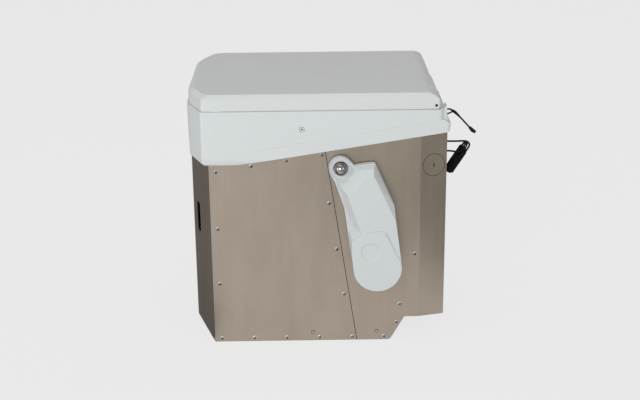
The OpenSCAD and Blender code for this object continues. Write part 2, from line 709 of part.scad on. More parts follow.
// ---------- Seat top ----------
module band_profile() {
    top0 = skirt_z + lip_h;
    rise = 0.1593;
    polygon([[-big, skirt_z], [rim_x, skirt_z], [rim_back + 1, rim_z(rim_back + 1)],
        [rim_back + 1, rim_z(rim_back) + 14], [top_back, top0 + rise * (top_back - top_fold) + 1],
        [top_fold, top0], [-big, top0]]);
}
module deck_opening(d) {
    polygon(oval(d));
}
screw_x = fold0 + 165.8;
screw_z = deck_z - 32.6;
screw_sunk = head_h + 0.8;
boss_l = 10;
module seat_base() color(white) difference() {
    union() {
        difference() {
            union() {
                intersection() {
                    linear_extrude(deck_z) polygon(rounded(top_plan, top_round, 8));
                    along_y(-big, big) polygon([[-big, skirt_z + 4], [rim_x, skirt_z + 4],
                        [big, rim_z(big) + 4], [big, big], [-big, big]]);
                }
                intersection() {
                    linear_extrude(deck_z) polygon(rounded(rim_plan, rim_round, 8));
                    along_y(-big, big) band_profile();
                    // The lowest edge draws in under the nose
                    hull() {
                        translate([0, 0, skirt_z - 1]) linear_extrude(1)
                            polygon(rounded(inset(rim_plan, 4.5), rim_round, 8));
                        translate([0, 0, skirt_z + 9]) linear_extrude(big)
                            polygon(rounded(rim_plan, rim_round, 8));
                    }
                }
            }
            // Room inside the walls, up to the deck
            translate([nose_draft, 0, -1]) linear_extrude(deck_z - 2 * skin + 1)
                polygon(rounded(inset(top_plan, skin + 0.2), [3, 4, 4, 3, 50, 50]));
            // Room for the back of the steel under the rear rim
            intersection() {
                linear_extrude(big) polygon(inset(steel, -0.9));
                along_y(-big, big) polygon([[-big, 0], [big, 0], [big, rim_z(big) + lap + 2],
                    [rim_x, rim_z(rim_x) + lap + 2], [-big, rim_z(rim_x) + lap + 2]]);
            }
        }
        // Thick bar under the back of the deck, for the hinge trough
        translate([pin_x - 14, -top_half + skin, deck_z - 12]) cube([24, 2 * top_half - 2 * skin, 12 - eps]);
        // Bosses behind the side screws
        both_sides() translate([screw_x, 0, screw_z])
            rod_y(8, -top_half + 1, -top_half + boss_l + screw_sunk);
    }
    // The nose leans in towards the steel
    along_y(-big, big) polygon([[top_front - 20, skirt_z - 1], [top_front + nose_draft, skirt_z - 1],
        [top_front, deck_z - 12], [top_front - 20, deck_z - 12]]);
    // The lowest edge of the back draws in
    along_y(-big, big) polygon([[rim_back + 1, rim_z(rim_back) - 2], [rim_back + 1, rim_z(rim_back) + 9],
        [rim_back, rim_z(rim_back) + 9], [rim_back - 2.2, rim_z(rim_back) - 2]]);
    translate([0, 0, deck_z - 20]) linear_extrude(40) deck_opening(0);
    translate([0, 0, deck_z - 2]) linear_extrude(4) deck_opening(10);
    // Trough in which the back of the lid turns
    translate([pin_x, 0, pin_z]) rod_y(trough_r, -top_half + lid_in - 0.5, top_half - lid_in + 0.5);
    both_sides() translate([screw_x, 0, screw_z]) {
        rod_y(head_d / 2 + 1.2, -top_half - 1, -top_half + screw_sunk);
        rod_y(shank_d / 2, -top_half, -top_half + boss_l + screw_sunk + 1);
    }
}
module base_screws() color(chrome) both_sides()
    translate([screw_x, -top_half + screw_sunk - 0.02, screw_z]) difference() {
        union() {
            rotate([90, 0, 0]) cylinder(h = head_h, d = head_d, $fn = 24);
            rod_y(shank_d / 2 - 0.01, -0.2, boss_l - 1);
        }
        socket(head_h);
    }

// Bowl insert: a front basin with a drain, and an open chute at the back
function oval(d, n = 24) = concat(
    [for (k = [0 : n]) [bowl_x + (bowl_l - bowl_w) / 2, 0]
        + (bowl_w / 2 - 4 + d) * [sin(180 * k / n), -cos(180 * k / n)]],
    [for (k = [0 : n]) [bowl_x - (bowl_l - bowl_w) / 2, 0]
        + (bowl_w / 2 - 4 + d) * [-sin(180 * k / n), cos(180 * k / n)]]);
module oval_ahead(d, x) {
    intersection() {
        polygon(oval(d));
        translate([x - big, -big]) square([big, 2 * big]);
    }
}
module oval_behind(d, x) {
    intersection() {
        polygon(oval(d));
        translate([x, -big]) square([big, 2 * big]);
    }
}
basin_h = 66;
module basin(d, top) {
    hull() {
        translate([0, 0, top - 1]) linear_extrude(1) oval_ahead(-1 - d, chute_x0 + 1 - d);
        translate([0, 0, deck_z - 10]) linear_extrude(1) oval_ahead(-2 - d, chute_x0 + 1 - d);
        translate([spout_x, 0, deck_z - basin_h + d]) cylinder(h = 1, r = 26 - d, $fn = 32);
    }
}
module chute(d, top, low) {
    hull() {
        translate([0, 0, top - 1]) linear_extrude(1) oval_behind(-1 - d, chute_x0 - 2 + d);
        translate([0, 0, low]) linear_extrude(1) oval_behind(-9 - d, chute_x0 - 0.5 + d);
    }
}
module bowl_insert() color(white) difference() {
    union() {
        basin(0, deck_z - 1);
        chute(0, deck_z - 1, chute_z);
        translate([0, 0, deck_z - 1.98]) linear_extrude(1.8) polygon(oval(9));
        translate([spout_x, 0, deck_z - basin_h - 26]) cylinder(h = 30, r = spout_r);
    }
    basin(skin, deck_z + 2);
    chute(skin, deck_z + 2, chute_z - 4);
    translate([spout_x, 0, deck_z - 100]) cylinder(h = 60, r = spout_r - 2.5);
}
module bowl_seal() color(black) translate([0, 0, deck_z - 2 * skin - 2]) linear_extrude(2)
    difference() {
        deck_opening(3.5);
        deck_opening(0.2);
    }

// Flap under the chute, hinged at the back and closed by a weight
hanger_y = chute_w / 2 + 3;
module flap_hangers() color(white) both_sides() difference() {
    translate([flap_pin_x - 7, -hanger_y - 5, flap_z - 6])
        cube([14, 5, deck_z - 2 * skin - flap_z + 6 - 0.02]);
    translate([flap_pin_x, 0, flap_z]) rod_y(3 + run, -big, big);
}
module flap_shaft() color(chrome) translate([flap_pin_x, 0, flap_z])
    rod_y(3, -hanger_y - 11, hanger_y + 11);
module solids_flap() color(white) difference() {
    union() {
        translate([flap_pin_x - flap_l, -hanger_y + 2, flap_z - 1.5]) cube([flap_l, 2 * hanger_y - 4, 3]);
        translate([flap_pin_x, 0, flap_z]) rod_y(6, -hanger_y + 2, hanger_y - 2);
        for (y = [-60, 0, 60]) translate([flap_pin_x - flap_l + 8, y - 1.5, flap_z - 6])
            cube([flap_l - 12, 3, 5]);
    }
    translate([flap_pin_x, 0, flap_z]) rod_y(3, -big, big);
}
weight_r = 7;
weight_x = 30;
module flap_weight() color(dark_steel) both_sides() translate([flap_pin_x, -hanger_y, flap_z])
    rotate([0, 15, 0]) difference() {
        union() {
            rod_y(6, -11, -6);
            translate([0, -11, -4]) cube([weight_x, 5, 8]);
            translate([weight_x, 0, 0]) rod_y(weight_r, -29, -6);
        }
        rod_y(3, -12, 0);
    }

// ---------- Lid ----------
// Lugs stand in the trough inside the lid's side walls, and carry the pins
module hinge_lugs() color(white) both_sides() translate([pin_x, 0, pin_z]) difference() {
    along_y(-lug_y, lug_t - lug_y) {
        circle(r = lug_r);
        intersection() {
            translate([-4.5, -2 * trough_r]) square([9, 2 * trough_r]);
            circle(r = trough_r - 0.02);
        }
    }
    rod_y(lid_pin_d / 2, -lug_y - 1, lug_t - lug_y + 1);
}
module lid_pins() color(black) both_sides() translate([pin_x, 0, pin_z])
    rod_y(lid_pin_d / 2, -top_half + lid_in + 0.6, lug_t - lug_y + arm_w);

arm_w = 10;
// Outline of the lid, ending behind the pins so that it turns clear of the deck
lid_plan = [for (q = inset(top_plan, lid_in)) [min(q[0], pin_x + ear_r), q[1]]];
lid_round = [7, 4, 4, 7, 70, 70];
crown_round = [26, 12, 12, 26, 90, 90];
module lid_body(d) {
    low = d > 0 ? lid_z0 - 1 : lid_z0;
    intersection() {
        hull() {
            translate([0, 0, low]) linear_extrude(lid_z1 - bevel_h - low)
                polygon(rounded(inset(lid_plan, d), lid_round, 8));
            translate([0, 0, lid_z1 - d - 0.5]) linear_extrude(0.5)
                polygon(rounded(inset(lid_plan, bevel_in + d), crown_round, 8));
        }
        // The back rolls down round a long cylinder
        union() {
            translate([-big, -big, 0]) cube([big + roll_x, 2 * big, big]);
            translate([-big, -big, 0]) cube([2 * big, 2 * big, roll_z]);
            translate([roll_x, 0, roll_z]) rod_y(lid_roll - d, -big, big);
        }
    }
}
module lid() color(white) difference() {
    union() {
        difference() {
            lid_body(0);
            lid_body(skin);
        }
        // Arms that turn on the pins, inside the lugs
        intersection() {
            both_sides() translate([pin_x, 0, pin_z])
                along_y(lug_t - lug_y + 0.6, lug_t - lug_y + 0.6 + arm_w)
                union() {
                    circle(r = ear_r - 0.1);
                    translate([-14, 0]) square([14, 40]);
                }
            lid_body(0.5);
        }
    }
    // The lower back edge is round about the pins
    translate([pin_x, 0, pin_z]) along_y(-big, big) difference() {
        translate([0, -20]) square([20, 20]);
        circle(r = ear_r);
    }
    both_sides() translate([pin_x, 0, pin_z]) {
        rod_y(lid_pin_d / 2 + run, -top_half, lug_t - lug_y + 2 * arm_w);
        // Room for the lugs
        rod_y(lug_room, -lug_y - 0.5, lug_t - lug_y + 0.5);
    }
}
pad_l = 16;
module lid_pads() color(white) both_sides()
    translate([top_fold + 18, -top_half + lid_in, deck_z + 0.1])
        cube([pad_l, skin - 0.2, lid_gap - 0.1 - eps]);
stop_y = top_half - 62;
stop_lean = 34;
module lid_stops() color(white) difference() {
    for (y = [-stop_y, stop_y]) translate([roll_x, y, roll_z]) rotate([0, stop_lean, 0])
        translate([0, 0, lid_roll - 0.6])
        intersection() {
            cylinder(h = 3, r = 7);
            translate([0, 0, -14]) sphere(r = 16.2);
        }
    translate([roll_x, 0, roll_z]) rod_y(lid_roll + 0.02, -big, big);
}

// ---------- Cables ----------
box_y = [7 - top_half, 29 - top_half];
box_x = top_back + 0.05;
module cable_box() color(white) difference() {
    // Its foot spreads on the rim, and the upstand keeps clear of the lid's arc
    along_y(box_y[0], box_y[1]) polygon([[box_x, deck_z - 17], [box_x + 9.4, deck_z - 22.7],
        [box_x + 9.2, deck_z - 20.5], [box_x + 6.9, deck_z - 14.5], [box_x + 6.3, deck_z - 10],
        [box_x + 6.3, deck_z + 3.8], [box_x + 6, deck_z + 5.4], [box_x + 5, deck_z + 5.9],
        [box_x + 3.3, deck_z + 3.2], [box_x + 1.2, deck_z], [box_x, deck_z - 0.8]]);
    translate([0, sensor_y, sensor_pts[0][2]]) rod_x(sensor_d / 2, top_back + 3, top_back + 10);
    translate([0, sensor_y, branch_pts[0][2]]) rod_x(branch_d / 2, top_back + 3, top_back + 10);
}
module cable_grommets() color(black) for (z = lead_z) translate([0, lead_y, z]) difference() {
    union() {
        rod_x(4, tail_x - 2.5, tail_x + 2);
        rod_x(6, tail_x + 0.02, tail_x + 2);
    }
    rod_x(lead_d / 2 + 0.1, tail_x - 5, tail_x + 5);
}

// Sweeps a round tube along points, with rings square to the path; the path never runs along ref
function tangent(p, i) = unit(p[min(i + 1, len(p) - 1)] - p[max(i - 1, 0)]);
function ring(p, i, r, n, ref) = let (t = tangent(p, i), u = unit(cross(t, ref)), v = cross(t, u))
    [for (k = [0 : n - 1]) p[i] + r * (cos(360 * k / n) * u + sin(360 * k / n) * v)];
module tube(p, d, n = 8, ref = [0, 1, 0]) {
    m = len(p);
    verts = concat([for (i = [0 : m - 1]) each ring(p, i, d / 2, n, ref)], [p[0], p[m - 1]]);
    faces = concat(
        [for (i = [0 : m - 2], k = [0 : n - 1]) [i * n + k, i * n + (k + 1) % n, (i + 1) * n + k]],
        [for (i = [0 : m - 2], k = [0 : n - 1])
            [i * n + (k + 1) % n, (i + 1) * n + (k + 1) % n, (i + 1) * n + k]],
        [for (k = [0 : n - 1]) [m * n, (k + 1) % n, k]],
        [for (k = [0 : n - 1]) [m * n + 1, (m - 1) * n + k, (m - 1) * n + (k + 1) % n]]);
    polyhedron(verts, faces);
}

// Sensor cable: two leads leave the box on the seat top, join and end in a small connector
sensor_y = 19 - top_half;
sensor_d = 3;
branch_d = 2.4;
sensor_pts = [for (q = [[-4.5, 435.8], [0.5, 435.8], [5.5, 435.2], [11.5, 432.4], [18, 426], [26.2, 417.6],
    [34.5, 408.4], [40.5, 401.5]]) [top_back + 7.5 + q[0], sensor_y, deck_z - 439.3 + q[1]]];
branch_pts = [for (q = [[-4.5, 427.2], [0.5, 427.2], [4.6, 428.4], [8.2, 430.3]])
    [top_back + 7.5 + q[0], sensor_y, deck_z - 439.3 + q[1]]];
module sensor_cable() color(black) tube(sensor_pts, sensor_d);
module sensor_lead() color(black) tube(branch_pts, branch_d);
module sensor_connector() color(black) translate(sensor_pts[7] + [0.2, 0, -0.2])
    rotate([0, 130, 0]) difference() {
        union() {
            translate([-2.4, -3.5, 0]) cube([4.8, 7, 13]);
            translate([2.3, -1.5, 4]) cube([1.3, 3, 6]);
        }
        // Mouth with room for two blades
        translate([-1.5, -2.5, 8]) cube([3, 5, 6]);
    }

// Supply cable: its two ends leave the back wall and the slack is tied in a hank
wire = 3.3;
lead_d = wire;
wire_pitch = 3.8;
loops = 2;
steps = 24;
first = 3;
hank_half = 33;
hank_o = [tail_x + 39, lead_y - 3, lead_z[0] - 3.5];
// The hank hangs along hank_d: s runs down it, w across it and t through it
hank_d = unit([-34, 15, -60.5]);
hank_t = unit([60.5, 0, -34]);
hank_w = cross(hank_d, hank_t);
function hank_to(s, w, t) = hank_o + hank_d * s + hank_w * w + hank_t * t;
hank_loops = [for (i = [first : loops * steps + first]) let (f = 360 * i / steps)
    hank_to(hank_half * (1 - cos(f)), sin(f) * (7 + 18 * pow(cos(f), 2) - 6 * pow(cos(f), 4)),
        wire_pitch * (loops / 2 - (i - first) / steps))];
hank_in = hank_loops[0] - 3.5 * hank_d;
hank_out = hank_loops[loops * steps] + 2.5 * hank_d;
hank_pts = concat([hank_in], hank_loops, [hank_out]);
// Least gap between one loop and the next, measured on the points
hank_gap = min([for (i = [0 : len(hank_pts) - 1], j = [i + 8 : len(hank_pts) - 1])
    norm(hank_pts[i] - hank_pts[j])]) - wire;
lead_ends = concat([for (q = [[-3, 0, 0], [4, 0, 0], [13, -1.5, 0.2], [22, -5, 1.2], [29, -9, 2.8],
    [34.8, -12, 3.5], [38.8, -13.3, 2.6], [41.4, -13.6, 0], [42.3, -13.5, -3.5], [41.3, -13, -7.2]])
    [tail_x, lead_y, lead_z[0]] + q], [hank_in]);
lead_ends_low = concat([hank_out + 0.05 * hank_d, hank_out + 0.9 * hank_d], [for (q = [[27.55, -9.9, 2.2],
    [26.54, -9.47, 1.2], [25.36, -8.96, 0.5], [24.07, -8.42, 0.1], [22.7, -7.85, -0.1], [19.3, -6.15, -0.1],
    [15.65, -4.1, -0.05], [11.9, -2.1, 0], [8.15, -0.6, 0], [4.5, 0, 0], [-3, 0, 0]])
    [tail_x, lead_y, lead_z[1]] + q]);
module upper_lead() color(black) tube(lead_ends, lead_d, 8, [0.17, 0.98, 0.1]);
module lower_lead() color(black) tube(lead_ends_low, lead_d, 8, [0, 0.1, 1]);
module cable_hank() color(black) {
    echo(hank_gap = hank_gap);
    tube(hank_pts, wire, 6, hank_t);
}
// Broad strap round the hank, loose enough to miss the wires, notched where the lower lead comes out
tie_l = 46;
tie_t = 0.8;
notch_l = 9;
tie_room = [wire_pitch + wire / 2 + 0.35, 10.3 + wire / 2 + 0.35];
function tie_outline(d) = let (a = tie_room[0] + d, b = tie_room[1] + d)
    rounded([[-a, -b], [a, -b], [a, b], [-a, b]], wire / 2 + 0.5 + d, 6);
module hank_tie() color(black) translate(hank_to(hank_half + 3.5, 0, 0))
    rotate([asin(hank_d[1]), atan2(-hank_t[2], hank_t[0]), 0]) difference() {
        translate([0, 0, -tie_l / 2]) linear_extrude(tie_l) difference() {
            polygon(tie_outline(tie_t));
            polygon(tie_outline(0));
        }
        translate([-2 - tie_l, -5 - tie_l, tie_l / 2 - notch_l]) cube([tie_l, tie_l, 2 * notch_l]);
    }

front_wrap();
front_panel_near();
front_panel_far();
front_bulkhead();
front_floor();
rear_casing();
rear_bulkhead();
rear_floor();
panel_screws_near();
panel_screws_far();
rear_screws();
floor_rivets();
urine_bottle();
bottle_cap();
bottle_funnel();
solids_bin();
shaft_bush_near();
shaft_bush_far();
agitator_shaft();
agitator_paddles();
shaft_clips();
lever_housing();
hub_cover();
knob_stud();
lever_knob();
vent_plug_near();
vent_plug_far();
fan_frame();
fan_screws();
fan_rotor();
top_hinge_leaf();
top_hinge();
top_hinge_pin();
seat_base();
base_screws();
bowl_insert();
bowl_seal();
flap_hangers();
flap_shaft();
solids_flap();
flap_weight();
hinge_lugs();
lid_pins();
lid();
lid_pads();
lid_stops();
cable_box();
cable_grommets();
sensor_cable();
sensor_lead();
sensor_connector();
upper_lead();
lower_lead();
cable_hank();
hank_tie();
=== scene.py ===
import json
import math
import bpy
import bmesh
from mathutils import Matrix, Vector


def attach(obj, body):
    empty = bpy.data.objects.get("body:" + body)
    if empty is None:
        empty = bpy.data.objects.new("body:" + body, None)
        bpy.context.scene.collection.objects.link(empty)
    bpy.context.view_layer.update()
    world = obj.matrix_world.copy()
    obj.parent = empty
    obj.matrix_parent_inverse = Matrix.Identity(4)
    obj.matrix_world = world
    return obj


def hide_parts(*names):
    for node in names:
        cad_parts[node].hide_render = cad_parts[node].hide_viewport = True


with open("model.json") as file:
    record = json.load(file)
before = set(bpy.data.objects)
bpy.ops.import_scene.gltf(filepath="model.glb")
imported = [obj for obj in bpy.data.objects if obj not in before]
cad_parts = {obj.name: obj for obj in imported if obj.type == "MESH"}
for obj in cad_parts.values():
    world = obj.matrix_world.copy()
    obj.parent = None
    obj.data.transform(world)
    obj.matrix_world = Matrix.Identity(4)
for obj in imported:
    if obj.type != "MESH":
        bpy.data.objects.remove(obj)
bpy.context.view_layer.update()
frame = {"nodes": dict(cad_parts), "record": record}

nodes = frame["nodes"]
print("stage: frame loaded,", len(nodes), "nodes")

# Camera, at the viewpoint of the photograph; place in metres, angles in degrees
view = {"place": (-0.01825, -2.28103, 1.00776), "yaw": 0.61, "pitch": 19.184, "roll": -0.5624,
        "lens": 70.4, "sensor": 36, "nearest": 0.05, "farthest": 50}
cameraData = bpy.data.cameras.new("camera")
cameraData.sensor_width = view["sensor"]
cameraData.lens = view["lens"]
cameraData.clip_start = view["nearest"]
cameraData.clip_end = view["farthest"]
camera = bpy.data.objects.new("camera", cameraData)
bpy.context.scene.collection.objects.link(camera)
yaw, pitch, roll = (math.radians(view[turn]) for turn in ("yaw", "pitch", "roll"))
ahead = Vector((math.sin(yaw) * math.cos(pitch), math.cos(yaw) * math.cos(pitch), -math.sin(pitch)))
level = Vector((math.cos(yaw), -math.sin(yaw), 0))
upward = level.cross(ahead)
right = math.cos(roll) * level + math.sin(roll) * upward
above = math.cos(roll) * upward - math.sin(roll) * level
camera.matrix_world = Matrix.Translation(view["place"]) @ Matrix(
    (right, above, -ahead)).transposed().to_4x4()
bpy.context.scene.camera = camera


def link(name, data):
    obj = bpy.data.objects.new(name, data)
    bpy.context.scene.collection.objects.link(obj)
    return obj


# A round cable along points, in metres, as one open curve
def cable(name, points, diameter):
    curve = bpy.data.curves.new(name, "CURVE")
    curve.dimensions = "3D"
    curve.bevel_depth = 1  # each point's radius is then the real one
    curve.bevel_resolution = 5
    curve.use_fill_caps = True
    spline = curve.splines.new("NURBS")
    spline.points.add(len(points) - 1)
    for knot, point in zip(spline.points, points):
        knot.co = (*point, 1)
        knot.radius = diameter / 2
    spline.order_u = 4
    spline.use_endpoint_u = True
    spline.resolution_u = 4
    return link(name, curve)


# Supply cable: out of the upper grommet, through the loops of the hank and back into the lower one
supply = {
    "diameter": 0.0033, "pitch": 0.0038, "loops": 2, "steps": 24, "first": 3, "halfRun": 0.033,
    "bulge": (0.007, 0.018, -0.006), "leadIn": 0.0035, "leadOut": 0.0034,
    "top": Vector((0.269, -0.133, 0.3645)),
    "down": Vector((-34, 15, -60.5)).normalized(),
    "through": Vector((60.5, 0, -34)).normalized(),
    "out": [(232, -130, 368), (234.5, -130, 368), (243, -131.5, 368.2), (252, -135, 369.2),
            (259, -139, 370.8), (264.8, -142, 371.5), (268.8, -143.3, 370.6), (271.4, -143.6, 368),
            (272.3, -143.5, 364.5), (271.3, -143, 360.8)],
    "back": [(257.55, -139.9, 352.2), (256.54, -139.47, 351.2), (255.36, -138.96, 350.5),
             (254.07, -138.42, 350.1), (252.7, -137.85, 349.9), (249.3, -136.15, 349.9),
             (245.65, -134.1, 349.95), (241.9, -132.1, 350), (238.15, -130.6, 350), (234.5, -130, 350),
             (232, -130, 350)],
}


# Flat loops that run down the hank and back, each a pitch further through it
def hankLoops(facts):
    across = facts["down"].cross(facts["through"])
    waist, swell, flat = facts["bulge"]
    points = []
    for i in range(facts["first"], facts["loops"] * facts["steps"] + facts["first"] + 1):
        angle = 2 * math.pi * i / facts["steps"]
        c = math.cos(angle)
        along = facts["halfRun"] * (1 - c)
        width = math.sin(angle) * (waist + swell * c ** 2 + flat * c ** 4)
        layer = facts["pitch"] * (facts["loops"] / 2 - (i - facts["first"]) / facts["steps"])
        points.append(facts["top"] + facts["down"] * along + across * width + facts["through"] * layer)
    return [points[0] - facts["leadIn"] * facts["down"], *points, points[-1] + facts["leadOut"] * facts["down"]]


# Routes are written in millimetres
def inMetres(points):
    return [Vector(p) / 1000 for p in points]


supplyRoute = [*inMetres(supply["out"]), *hankLoops(supply), *inMetres(supply["back"])]
supplyCable = cable("supplyCable", supplyRoute, supply["diameter"])
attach(supplyCable, "casing")
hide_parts("upper_lead", "lower_lead", "cable_hank")

# Sensor cable: from the box on the seat top to its small connector, with a second lead that joins it
sensor = {
    "diameter": 0.003,
    "route": [(226.5, -160, 435.8), (229, -160, 435.8), (231.5, -160, 435.6), (234, -160, 435.2),
              (237, -160, 434), (240, -160, 432.4), (243.3, -160, 429.4), (246.5, -160, 426),
              (250.6, -160, 421.9), (254.7, -160, 417.6), (258.9, -160, 413), (263, -160, 408.4),
              (266, -160, 405), (269, -160, 401.5)],
    "branchDiameter": 0.0027,
    "joint": [(236.2, -160, 433), (238.5, -160, 432.4), (241, -160, 431), (244.5, -160, 428.1),
              (248, -160, 424.6), (251, -160, 421.5)],
    "jointDiameter": 0.0056, "jointShares": [0.72, 0.95, 1.0, 0.9, 0.74, 0.6],
    "branch": [(226.5, -160, 427.2), (229, -160, 427.2), (231.5, -160, 427.7), (234, -160, 428.6),
               (237, -160, 430.3), (239.5, -160, 431.6), (242, -160, 430.4)],
}
sensorRoute = inMetres(sensor["route"])
sensorCable = cable("sensorCable", sensorRoute, sensor["diameter"])
branchLead = cable("branchLead", inMetres(sensor["branch"]), sensor["branchDiameter"])
for piece, node in ((sensorCable, "sensor_cable"), (branchLead, "sensor_lead")):
    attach(piece, "seat_top")
    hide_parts(node)
jointSleeve = cable("jointSleeve", inMetres(sensor["joint"]), sensor["jointDiameter"])
for knot, share in zip(jointSleeve.data.splines[0].points, sensor["jointShares"]):
    knot.radius *= share
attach(jointSleeve, "seat_top")
print("stage: cords made")


# Wires up one procedural material on Object coordinates
class Shader:
    def __init__(self, name):
        self.material = bpy.data.materials.new(name)
        self.material.use_nodes = True
        self.tree = self.material.node_tree
        self.bsdf = self.tree.nodes["Principled BSDF"]
        self.coords = self.add("ShaderNodeTexCoord").outputs["Object"]

    def add(self, kind, **values):
        node = self.tree.nodes.new(kind)
        for key, value in values.items():
            if hasattr(node, key):
                setattr(node, key, value)
            else:
                node.inputs[key].default_value = value
        return node

    def join(self, source, node, socket):
        self.tree.links.new(source, node.inputs[socket])
        return node

    def scaled(self, scale, turn=(0, 0, 0)):
        mapping = self.add("ShaderNodeMapping")
        mapping.inputs["Scale"].default_value = scale
        mapping.inputs["Rotation"].default_value = turn
        return self.join(self.coords, mapping, "Vector").outputs["Vector"]

    def noise(self, scale, size=1, detail=3, rough=0.5):
        node = self.add("ShaderNodeTexNoise", Scale=size, Detail=detail, Roughness=rough)
        return self.join(self.scaled(scale), node, "Vector").outputs["Fac"]

    def even(self, scale, detail=3, rough=0.5):
        return self.noise((scale, scale, scale), 1, detail, rough)

    def ramp(self, source, low, high, start=0.3, end=0.7):
        node = self.add("ShaderNodeValToRGB")
        for stop, position, tone in zip(node.color_ramp.elements, (start, end), (low, high)):
            stop.position = position
            stop.color = (*tone, 1) if hasattr(tone, "__len__") else (tone, tone, tone, 1)
        return self.join(source, node, "Fac").outputs["Color"]

    def mix(self, a, b, factor, kind="MIX"):
        node = self.add("ShaderNodeMix", data_type="RGBA", blend_type=kind)
        for value, socket in ((factor, 0), (a, 6), (b, 7)):
            if hasattr(value, "is_linked"):
                self.tree.links.new(value, node.inputs[socket])
            elif hasattr(value, "__len__"):
                node.inputs[socket].default_value = (*value, 1)
            else:
                node.inputs[socket].default_value = value
        return node.outputs[2]

    def bump(self, height, strength, distance):
        node = self.add("ShaderNodeBump", Strength=strength, Distance=distance)
        self.join(height, node, "Height")
        self.join(node.outputs["Normal"], self.bsdf, "Normal")

    def put(self, **sockets):
        for key, value in sockets.items():
            name = key.replace("_", " ")
            if hasattr(value, "is_linked"):
                self.join(value, self.bsdf, name)
            else:
                self.bsdf.inputs[name].default_value = (*value, 1) if hasattr(value, "__len__") else value


# Brushed sheet; each layer has its scale across the grain and along it, then detail and roughness of the noise
brushing = {
    "streaks": (2600, 18, 4, 0.6),
    "bands": (420, 5, 3, 0.5),
    "sweep": (24, 8, 3, 0.55),
    "passes": (150, 3, 3, 0.5),
    "smudge": (9, 9, 4, 0.6),
    "streakTones": (0.955, 1.03), "bandTones": (0.97, 1.02), "bandShare": 0.4,
    "metallic": 0.9, "smoother": 0.04, "rougher": 0.05, "bump": (0.05, 0.0002),
}


def shades(tint, shares):
    return [[c * share for c in tint] for share in shares]


def steelMaterial(name, tint, rough=0.36, grainAxis=2):
    s = Shader(name)
    layer = {}
    for key in ("streaks", "bands", "sweep", "passes", "smudge"):
        across, along, detail, soft = brushing[key]
        scale = [across] * 3
        scale[grainAxis] = along
        layer[key] = s.noise(scale, 1, detail, soft)
    base = s.ramp(layer["streaks"], *shades(tint, brushing["streakTones"]), 0.25, 0.75)
    base = s.mix(base, s.ramp(layer["bands"], *shades(tint, brushing["bandTones"])), brushing["bandShare"])
    for key, dark, start, end in (("smudge", (0.95, 0.945, 0.94), 0.35, 0.65),
                                  ("sweep", (0.945, 0.94, 0.93), 0.36, 0.62),
                                  ("passes", 0.985, 0.35, 0.65)):
        base = s.mix(base, s.ramp(layer[key], dark, 1.0, start, end), 1.0, "MULTIPLY")
    s.put(Base_Color=base, Metallic=brushing["metallic"],
          Roughness=s.ramp(layer["bands"], rough - brushing["smoother"], rough + brushing["rougher"]))
    s.bump(layer["streaks"], *brushing["bump"])
    return s.material


# Moulded plastic: an even colour with a very fine skin and faint unevenness
moulding = {"cloud": 14, "sheen": 40, "skin": 900, "skinHeight": 0.0003, "smoother": 0.03, "rougher": 0.04,
            "refraction": 1.46}


def plasticMaterial(name, tint, rough=0.42, grain=0.04, spread=0.02, shine=0.5):
    s = Shader(name)
    s.put(Base_Color=s.ramp(s.even(moulding["cloud"]), *shades(tint, (1 - spread, 1))),
          Roughness=s.ramp(s.even(moulding["sheen"]), rough - moulding["smoother"],
                           rough + moulding["rougher"]),
          IOR=moulding["refraction"], Specular_IOR_Level=shine)
    s.bump(s.even(moulding["skin"], 2), grain, moulding["skinHeight"])
    return s.material


# Woven strap: two crossed sets of fine ribs, matt black
weaving = {"ribs": 160, "waver": 0.6, "slant": (0.3, 0.4, 0), "tones": (0.6, 1.8), "rough": 0.85, "shine": 0.15,
           "bump": (0.35, 0.0004)}


def strapMaterial(name, tint):
    s = Shader(name)
    ribs = []
    for direction in ("X", "Z"):
        wave = s.add("ShaderNodeTexWave", wave_type="BANDS", bands_direction=direction,
                     Scale=weaving["ribs"], Distortion=weaving["waver"])
        ribs.append(s.join(s.scaled((1, 1, 1), weaving["slant"]), wave, "Vector").outputs["Color"])
    weave = s.mix(*ribs, 0.5)
    s.put(Base_Color=s.ramp(weave, *shades(tint, weaving["tones"])), Roughness=weaving["rough"],
          Specular_IOR_Level=weaving["shine"])
    s.bump(weave, *weaving["bump"])
    return s.material


# Plain metal parts: satin, with faint scuffs
scuffing = {"scale": 60, "detail": 4, "rough": 0.6, "darker": 0.93, "spread": 0.05, "grainScale": 700,
            "grain": (0.03, 0.0002)}


def metalMaterial(name, tint, rough, metallic=1.0):
    s = Shader(name)
    scuff = s.even(scuffing["scale"], scuffing["detail"], scuffing["rough"])
    s.put(Base_Color=s.ramp(scuff, *shades(tint, (scuffing["darker"], 1))), Metallic=metallic,
          Roughness=s.ramp(scuff, rough - scuffing["spread"], rough + scuffing["spread"]))
    s.bump(s.even(scuffing["grainScale"], 2), *scuffing["grain"])
    return s.material


# Polished dome, bright where it faces the camera, with its colour darkened towards its rim as painted shade
polishAndRimShade = {"blend": 0.5, "rimStart": 0.22, "rimEnd": 0.5, "smoother": 0.03, "rougher": 0.05}


def chromeMaterial(name, tint, rim, rough):
    s = Shader(name)
    turned = s.add("ShaderNodeLayerWeight", Blend=polishAndRimShade["blend"]).outputs["Facing"]
    scuff = s.even(scuffing["scale"], scuffing["detail"], scuffing["rough"])
    s.put(Base_Color=s.ramp(turned, tint, rim, polishAndRimShade["rimStart"], polishAndRimShade["rimEnd"]), Metallic=1.0,
          Roughness=s.ramp(scuff, rough - polishAndRimShade["smoother"], rough + polishAndRimShade["rougher"]))
    return s.material


